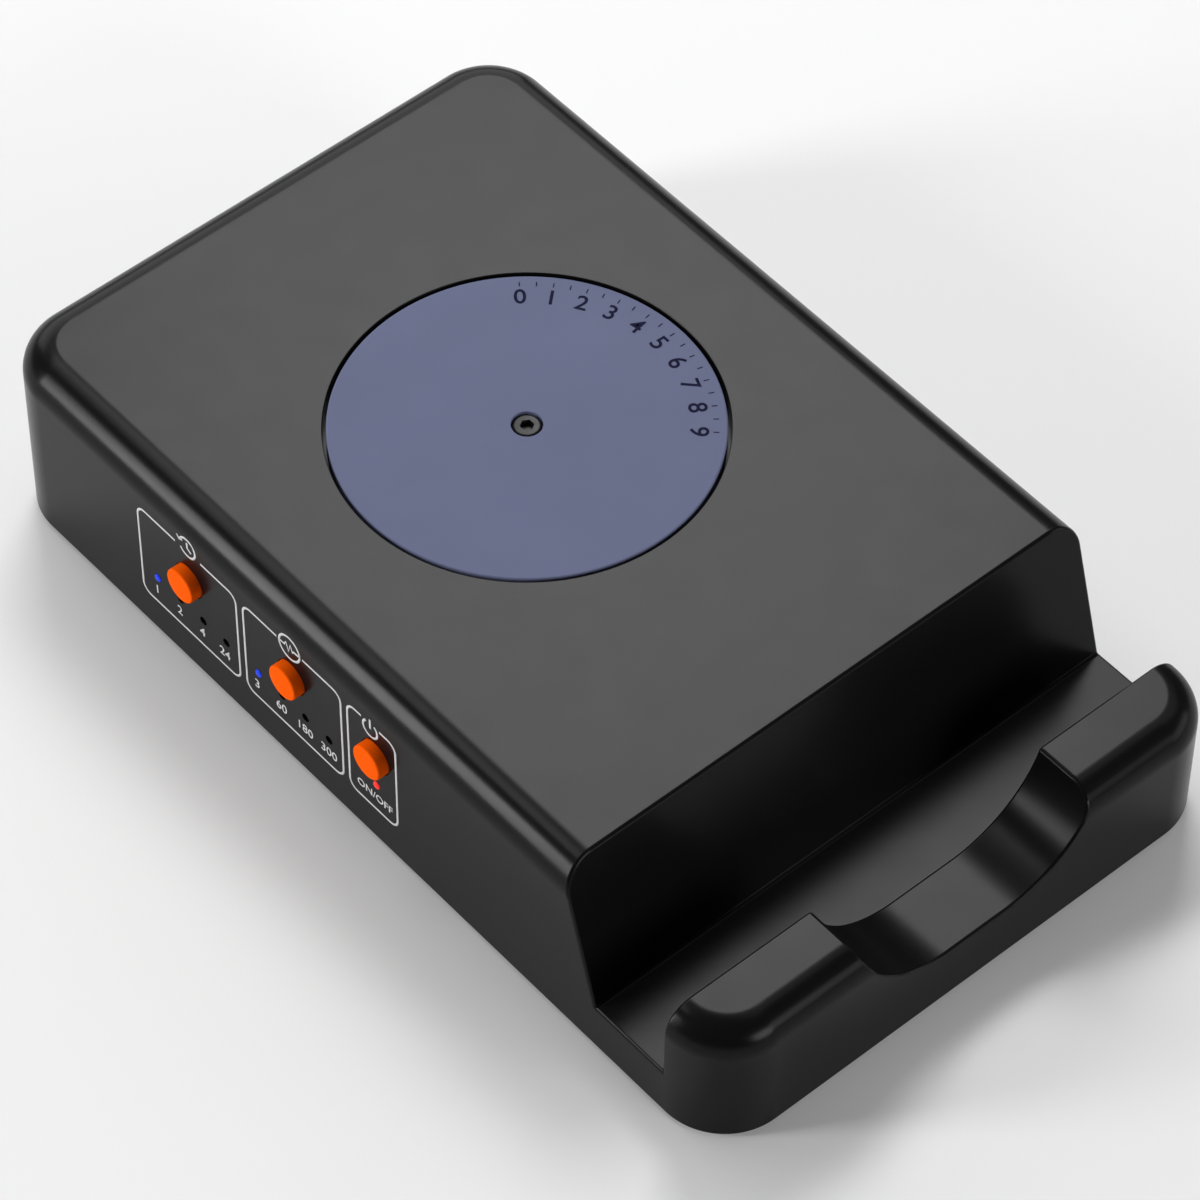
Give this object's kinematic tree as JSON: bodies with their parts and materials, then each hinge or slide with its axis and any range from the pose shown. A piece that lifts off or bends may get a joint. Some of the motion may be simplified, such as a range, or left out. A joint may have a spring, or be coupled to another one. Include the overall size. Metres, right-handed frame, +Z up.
{
  "type": "mouse jiggler",
  "caption": "Desk box with a motor-driven flush turntable for an optical mouse, side push buttons, status lights and a phone slot with a thumb notch.",
  "frame": {"origin": "middle of the case's footprint, on the plane the rubber feet stand on", "axes": "+X to the right, away from the buttons; +Y from the phone slot to the rear; +Z up"},
  "size_m": [0.0815, 0.133, 0.0284],
  "materials": {
    "case_plastic": "dark grey ABS, fine satin",
    "base_plastic": "dark grey ABS, fine texture",
    "disc_plastic": "slate blue ABS, matt",
    "button_orange": "orange ABS",
    "black_plastic": "moulded black",
    "rubber_black": "matt silicone rubber",
    "steel": "zinc plated",
    "can_steel": "tin plated sheet",
    "brass": "sintered brass",
    "nylon": "natural nylon",
    "magnet": "sintered ferrite",
    "copper": "enamelled copper wire",
    "blue_plastic": "blue cover",
    "wire_skin": "PVC",
    "link_skin": "PVC",
    "board_green": "solder mask",
    "led_white": "LED package",
    "light_guide": "clear acrylic",
    "capacitor_skin": "sleeve"
  },
  "bodies": {
    "case": {"upper_case": "case_plastic", "base_cover": "base_plastic", "base_screws": "steel", "rubber_feet": "rubber_black", "gear_pins": "steel", "gear_plate": "can_steel", "motor_can": "can_steel", "motor_plate": "can_steel", "output_bush": "brass", "stator_yokes": "can_steel", "coil_bobbins": "nylon", "coil_windings": "copper", "motor_screws": "steel", "wire_cover": "blue_plastic", "motor_wires": "wire_skin", "motor_plug": "nylon", "motor_header": "nylon", "switch_housings": "black_plastic", "button_board": "board_green", "button_board_screws": "steel", "status_leds": "led_white", "timer_light_guide": "light_guide", "interval_light_guide": "light_guide", "power_light_guide": "light_guide", "control_board": "board_green", "control_board_screws": "steel", "driver_chips": "black_plastic", "filter_capacitor": "capacitor_skin", "usb_shell": "steel", "usb_tongue": "black_plastic", "link_wires": "link_skin", "link_plugs": "nylon", "link_headers": "nylon"},
    "turntable": {"turntable_disc": "disc_plastic", "disc_screw": "steel", "output_shaft": "steel", "output_gear": "brass"},
    "second_gear": {"second_gear": "nylon"},
    "first_gear": {"first_gear": "nylon"},
    "rotor": {"rotor_shaft": "steel", "rotor_magnet": "magnet"},
    "timer_button": {"timer_button": "button_orange", "timer_plunger": "black_plastic"},
    "interval_button": {"interval_button": "button_orange", "interval_plunger": "black_plastic"},
    "power_button": {"power_button": "button_orange", "power_plunger": "black_plastic"}
  },
  "joints": [
    {"name": "turntable_spin", "type": "hinge", "parent": "case", "child": "turntable", "pos_m": [0, 0.0135, 0.0284], "axis": [0, 0, 1], "continuous": true},
    {"name": "second_gear_spin", "type": "hinge", "parent": "case", "child": "second_gear", "pos_m": [0.00593, 0.01699, 0.02], "axis": [0, 0, 1], "continuous": true},
    {"name": "first_gear_spin", "type": "hinge", "parent": "case", "child": "first_gear", "pos_m": [0.00635, 0.0237, 0.02], "axis": [0, 0, 1], "continuous": true},
    {"name": "rotor_spin", "type": "hinge", "parent": "case", "child": "rotor", "pos_m": [0, 0.0215, 0.02], "axis": [0, 0, 1], "continuous": true},
    {"name": "timer_press", "type": "slide", "parent": "case", "child": "timer_button", "axis": [1, 0, 0], "range_m": [0, 0.0005], "stiffness_N_per_m": 300, "springref_m": -0.0002},
    {"name": "interval_press", "type": "slide", "parent": "case", "child": "interval_button", "axis": [1, 0, 0], "range_m": [0, 0.0005], "stiffness_N_per_m": 300, "springref_m": -0.0002},
    {"name": "power_press", "type": "slide", "parent": "case", "child": "power_button", "axis": [1, 0, 0], "range_m": [0, 0.0005], "stiffness_N_per_m": 300, "springref_m": -0.0002}
  ],
  "couplings": [
    {"joint": "second_gear_spin", "follows": "turntable_spin", "ratio": -2.5833},
    {"joint": "first_gear_spin", "follows": "turntable_spin", "ratio": 6.4583},
    {"joint": "rotor_spin", "follows": "turntable_spin", "ratio": -16.146}
  ]
}
